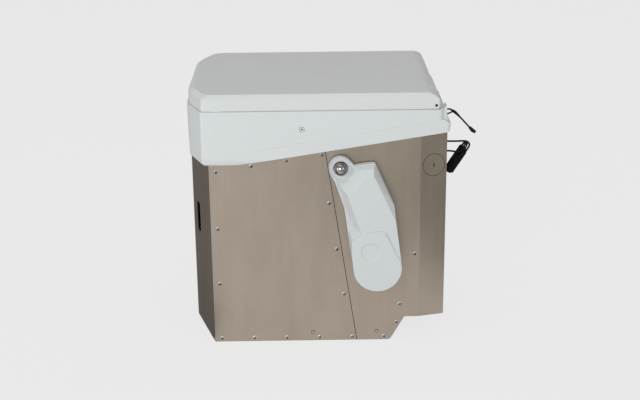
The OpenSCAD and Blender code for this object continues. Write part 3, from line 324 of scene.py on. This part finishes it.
look = {
    "steel": steelMaterial("brushedSteel", (0.468, 0.400, 0.330)),
    "innerSteel": steelMaterial("innerSteel", (0.30, 0.27, 0.24), 0.45, 0),
    "white": plasticMaterial("whiteMoulding", (0.758, 0.785, 0.785)),
    "lever": plasticMaterial("leverMoulding", (0.715, 0.745, 0.752), 0.42),
    "bottle": plasticMaterial("milkyBottle", (0.50, 0.60, 0.68), 0.35),
    "bin": plasticMaterial("binPlastic", (0.05, 0.055, 0.06), 0.55, 0.15, 0.1),
    "black": plasticMaterial("blackPlastic", (0.012, 0.012, 0.013), 0.5, 0.1, 0.15, 0.25),
    "rubber": plasticMaterial("cableRubber", (0.006, 0.006, 0.007), 0.6, 0.12, 0.2, 0.2),
    # tan strip in the gap under the lid: painted shade for the shaded gap line
    "gapShade": plasticMaterial("gapShadeStrip", (0.66, 0.60, 0.51), 0.7),
    "strap": strapMaterial("wovenStrap", (0.0045, 0.0046, 0.0045)),
    # the second, near-black colour of the dome is painted shade at its rim
    "chrome": chromeMaterial("chromeRimShaded", (0.40, 0.38, 0.37), (0.03, 0.03, 0.03), 0.17),
    # near-black metal on the knob's stud: painted shade at the washer's edge
    "studShade": metalMaterial("studEdgeShade", (0.10, 0.098, 0.095), 0.3),
    "zinc": metalMaterial("zincSteel", (0.50, 0.47, 0.44), 0.34),
    "screw": metalMaterial("screwSteel", (0.74, 0.72, 0.70), 0.45),
    "shade": plasticMaterial("seamShade", (0.035, 0.03, 0.027), 0.8, shine=0.1),
    # darker metal for the rings on the rivets: painted shade at the edges of their heads
    "rivetEdgeShade": metalMaterial("rivetEdgeShade", (0.24, 0.21, 0.18), 0.5, 0.9),
}
slotLook = {
    "brushed_steel": "steel", "dark_steel": "innerSteel", "white_plastic": "white",
    "lever_plastic": "lever", "bottle_plastic": "bottle", "bin_plastic": "bin",
    "black_plastic": "black", "black_rubber": "rubber", "chrome": "chrome", "zinc_steel": "zinc",
}
slotOf = {s["node"]: s["material_slot"] for s in frame["record"]["subparts"]}
ownLook = {"hank_tie": "strap", "floor_rivets": "steel", "knob_stud": "studShade",
           "panel_screws_near": "screw", "panel_screws_far": "screw", "rear_screws": "screw",
           "base_screws": "white"}
for name, obj in nodes.items():
    obj.data.materials.clear()
    obj.data.materials.append(look[ownLook.get(name, slotLook[slotOf[name]])])
for piece in (supplyCable, sensorCable, branchLead, jointSleeve):
    piece.data.materials.append(look["rubber"])
print("stage: materials on the frame")


# Small rounds on the edges of moulded parts: width, segments and the least angle that is rounded.
# The frame splits its corners at every face, so they are joined first
edgeRounds = {"join": 0.000002, "lid": (0.0016, 3, 28), "seat_base": (0.0012, 3, 28),
              "hub_cover": (0.0006, 3, 28), "cable_box": (0.0005, 3, 28), "lever_housing": (0.0035, 4, 11)}


def softenEdges(name, width, segments, angle):
    nodes[name].modifiers.new("joinedCorners", "WELD").merge_threshold = edgeRounds["join"]
    bevel = nodes[name].modifiers.new("softEdges", "BEVEL")
    bevel.width = width
    bevel.segments = segments
    bevel.limit_method = "ANGLE"
    bevel.angle_limit = math.radians(angle)
    bevel.use_clamp_overlap = True
    nodes[name].modifiers.new("evenShading", "WEIGHTED_NORMAL").mode = "FACE_AREA_WITH_ANGLE"


for name in ("lid", "seat_base", "hub_cover", "cable_box", "lever_housing"):
    softenEdges(name, *edgeRounds[name])


# Low and high corners of every group of joined vertices in a node. The frame splits its corners at every
# face, so each group is one face; merging the copy's doubles first would give one group to a screw
def faceBoxes(name):
    mesh = bmesh.new()
    mesh.from_mesh(nodes[name].data)
    left = set(mesh.verts)
    found = []
    while left:
        group, edge = set(), [left.pop()]
        while edge:
            vert = edge.pop()
            group.add(vert)
            for near in (e.other_vert(vert) for e in vert.link_edges):
                if near in left:
                    left.discard(near)
                    edge.append(near)
        spots = [v.co for v in group]
        low = Vector([min(c[k] for c in spots) for k in range(3)])
        high = Vector([max(c[k] for c in spots) for k in range(3)])
        found.append((low, high))
    mesh.free()
    return found


# Sockets and rims: flat discs, or rings where there is a hole, a little inside the outer side of each face box.
# The black discs in the panel and rear screws are painted shade in their sockets, and the dark rings on the
# rivets are painted shade at the edges of their heads
sockets = {
    # black discs in the screws' sockets: painted shade in the recesses
    "panelSocketsNear": {"node": "panel_screws_near", "body": "casing", "look": "black",
                         "slot": "black_plastic", "radius": 0.0017, "hole": 0, "depth": 0.00015, "sides": 6},
    "panelSocketsFar": {"node": "panel_screws_far", "body": "casing", "look": "black",
                        "slot": "black_plastic", "radius": 0.0017, "hole": 0, "depth": 0.00015, "sides": 6},
    "rearSockets": {"node": "rear_screws", "body": "casing", "look": "black",
                    "slot": "black_plastic", "radius": 0.0017, "hole": 0, "depth": 0.00015, "sides": 6},
    "topSockets": {"node": "base_screws", "body": "seat_top", "look": "screw",
                   "slot": "zinc_steel", "radius": 0.0019, "hole": 0, "depth": 0.0006, "sides": 6},
    # dark rings on the rivets: painted shade at the edges of their heads
    "rivetRings": {"node": "floor_rivets", "body": "casing", "look": "rivetEdgeShade",
                   "slot": "brushed_steel", "radius": 0.0034, "hole": 0.0027, "depth": 0.0001, "sides": 24},
}


def faceRings(name, facts):
    mesh = bmesh.new()
    for low, high in faceBoxes(facts["node"]):
        side = -1 if low.y < 0 else 1
        outer = low.y if side < 0 else high.y
        centre = ((low.x + high.x) / 2, outer - side * facts["depth"], (low.z + high.z) / 2)
        facing = Matrix(((0, 1, 0), (0, 0, side), (side, 0, 0))).to_4x4()
        made = bmesh.ops.create_circle(mesh, cap_ends=True, segments=facts["sides"], radius=facts["radius"],
                                       matrix=Matrix.Translation(centre) @ facing)
        if facts["hole"]:
            disc = made["verts"][0].link_faces[0]
            rim = (facts["radius"] - facts["hole"]) * math.cos(math.pi / facts["sides"])
            bmesh.ops.inset_individual(mesh, faces=[disc], thickness=rim, use_even_offset=True)
            bmesh.ops.delete(mesh, geom=[disc], context="FACES_ONLY")
    data = bpy.data.meshes.new(name)
    mesh.to_mesh(data)
    mesh.free()
    data.materials.append(look[facts["look"]])
    piece = link(name, data)
    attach(piece, facts["body"])
    print("stage:", name, "of", len(data.polygons), "faces")


for name, facts in sockets.items():
    faceRings(name, facts)


# The shaded edges of the leaning seam between the two modules, as a narrow dark line on both sides
seam = {"foot": 0.070, "lean": 8.66, "low": 0.0005, "high": 0.352, "width": 0.0012, "side": 0.17503}


def seamLine(name, facts, sign):
    ends = []
    for z in (facts["low"], facts["high"]):
        x = facts["foot"] - z * math.tan(math.radians(facts["lean"]))
        ends.append([(x + k * facts["width"] / 2, sign * facts["side"], z) for k in (-1, 1)])
    (a, b), (d, c) = ends
    data = bpy.data.meshes.new(name)
    data.from_pydata([a, b, c, d], [], [(0, 1, 2, 3) if sign < 0 else (3, 2, 1, 0)])
    data.materials.append(look["shade"])
    piece = link(name, data)
    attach(piece, "casing")


seamLine("seamNear", seam, -1)
seamLine("seamFar", seam, 1)


# Pale strip in the gap under the lid, painted shade for the shaded gap line, hung from the outer faces that
# reach its lower edge
lidEdge = {"bottom": 0.4407, "inset": 0.0006, "rise": 0.0008, "drop": 0.00125, "level": 0.0001, "steep": 0.5}


def lidGapShade(name, node, facts):
    source = nodes[node].data
    bottom, level = facts["bottom"], facts["level"]
    mesh = bmesh.new()
    for face in source.polygons:
        spots = [source.vertices[i].co for i in face.vertices]
        middle = sum(spots, Vector()) / len(spots)
        outward = Vector((face.normal.x, face.normal.y, 0))
        if abs(face.normal.z) > facts["steep"] or outward.dot(Vector((middle.x, middle.y, 0))) <= 0:
            continue
        for a, b in zip(spots, spots[1:] + spots[:1]):
            if abs(a.z - bottom) < level and abs(b.z - bottom) < level:
                shift = -facts["inset"] * outward.normalized()
                corners = [a + shift, b + shift, b + shift, a + shift]
                for corner, z in zip(corners, (facts["rise"], facts["rise"], -facts["drop"], -facts["drop"])):
                    corner.z = bottom + z
                mesh.faces.new([mesh.verts.new(c) for c in corners])
    data = bpy.data.meshes.new(name)
    mesh.to_mesh(data)
    mesh.free()
    data.materials.append(look["gapShade"])
    piece = link(name, data)
    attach(piece, node)
    print("stage: lid seal of", len(data.polygons), "faces")


lidGapShade("lidGapShade", "lid", lidEdge)
print("stage: edges and screw sockets")


# A level sheet between two corners, for the floor and the cards on it
def levelSheet(name, x0, y0, x1, y1, z):
    data = bpy.data.meshes.new(name)
    data.from_pydata([(x0, y0, z), (x1, y0, z), (x1, y1, z), (x0, y1, z)], [], [(0, 1, 2, 3)])
    return link(name, data)


# Floor a little under the part, light, and what the steel mirrors; lengths in metres and power in watts
room = {
    "floor": (-12, -8, 12, 14), "floorHeight": -0.0006, "floorColor": 0.80, "floorRough": 0.8,
    "floorTone": 0.85, "floorShare": 0.9, "cardHeight": 0.001, "cardRough": 0.9,
    "worldColor": 0.8, "worldStrength": 0.42, "worldTone": 0.83,
}
floor = levelSheet("floor", *room["floor"], room["floorHeight"])


# Shows an even pale tone to the camera and to the kinds of ray named, and the real surface to all others
def pale(tree, surface, out, flat, share=1.0, kinds=("Is Glossy Ray", "Is Transmission Ray")):
    glow = tree.nodes.new("ShaderNodeEmission")
    glow.inputs["Color"].default_value = (flat, flat, flat, 1)
    rays = tree.nodes.new("ShaderNodeLightPath")
    seen = rays.outputs["Is Camera Ray"]
    for kind in kinds:
        both = tree.nodes.new("ShaderNodeMath")
        both.operation = "MAXIMUM"
        tree.links.new(seen, both.inputs[0])
        tree.links.new(rays.outputs[kind], both.inputs[1])
        seen = both.outputs[0]
    part = tree.nodes.new("ShaderNodeMath")
    part.operation = "MULTIPLY"
    part.inputs[1].default_value = share
    mixer = tree.nodes.new("ShaderNodeMixShader")
    tree.links.new(seen, part.inputs[0])
    tree.links.new(part.outputs[0], mixer.inputs[0])
    tree.links.new(surface, mixer.inputs[1])
    tree.links.new(glow.outputs[0], mixer.inputs[2])
    tree.links.new(mixer.outputs[0], out)


floorShader = Shader("paleFloor")
floorShader.put(Base_Color=[room["floorColor"]] * 3, Roughness=room["floorRough"])
pale(floorShader.tree, floorShader.bsdf.outputs[0],
     floorShader.tree.nodes["Material Output"].inputs["Surface"], room["floorTone"], room["floorShare"])
floor.data.materials.append(floorShader.material)


def areaLight(name, place, target, size, power, tint=(1, 1, 1)):
    data = bpy.data.lights.new(name, "AREA")
    data.shape = "RECTANGLE"
    data.size, data.size_y = size
    data.energy = power
    data.color = tint
    lamp = link(name, data)
    lamp.location = place
    lamp.rotation_euler = (Vector(target) - Vector(place)).to_track_quat("-Z", "Y").to_euler()


areaLight("keyLight", (-1.2, -4.2, 1.9), (0, 0, 0.25), (2.6, 2.2), 69, (0.955, 1.0, 1.0))
areaLight("leftLight", (-3.2, -1.9, 1.3), (0, 0, 0.3), (1.6, 1.6), 22)
areaLight("fillLight", (2.6, -2.6, 1.6), (0, 0, 0.25), (2.0, 2.0), 13)
areaLight("topLight", (0, 0.2, 3.2), (0, 0, 0.3), (3.0, 3.0), 18, (1.0, 0.925, 0.88))


# Cards on the floor that only the steel mirrors: dark behind the nose, grey before the rear module and, darker,
# before its facet
def floorCard(name, x0, y0, x1, y1, tone):
    card = levelSheet(name, x0, y0, x1, y1, room["cardHeight"])
    card.visible_camera = card.visible_shadow = card.visible_diffuse = False
    shader = Shader(name)
    shader.put(Base_Color=tone, Roughness=room["cardRough"])
    card.data.materials.append(shader.material)


floorCard("noseCard", -2.2, -0.35, -0.2, 2.0, (0.215, 0.222, 0.235))
floorCard("rearCard", 0.07, -1.9, 0.42, -0.66, (0.40, 0.395, 0.385))
floorCard("facetCard", 0.42, -1.9, 1.7, -0.3, (0.27, 0.265, 0.255))

world = bpy.data.worlds.new("world")
bpy.context.scene.world = world
world.use_nodes = True
background = world.node_tree.nodes["Background"]
background.inputs["Color"].default_value = (*[room["worldColor"]] * 3, 1)
background.inputs["Strength"].default_value = room["worldStrength"]
pale(world.node_tree, background.outputs[0], world.node_tree.nodes["World Output"].inputs["Surface"],
     room["worldTone"], kinds=())
print("stage: floor, light and world")

bpy.context.scene.view_settings.view_transform = "Standard"
bpy.context.scene.view_settings.look = "None"

print("stage: done")
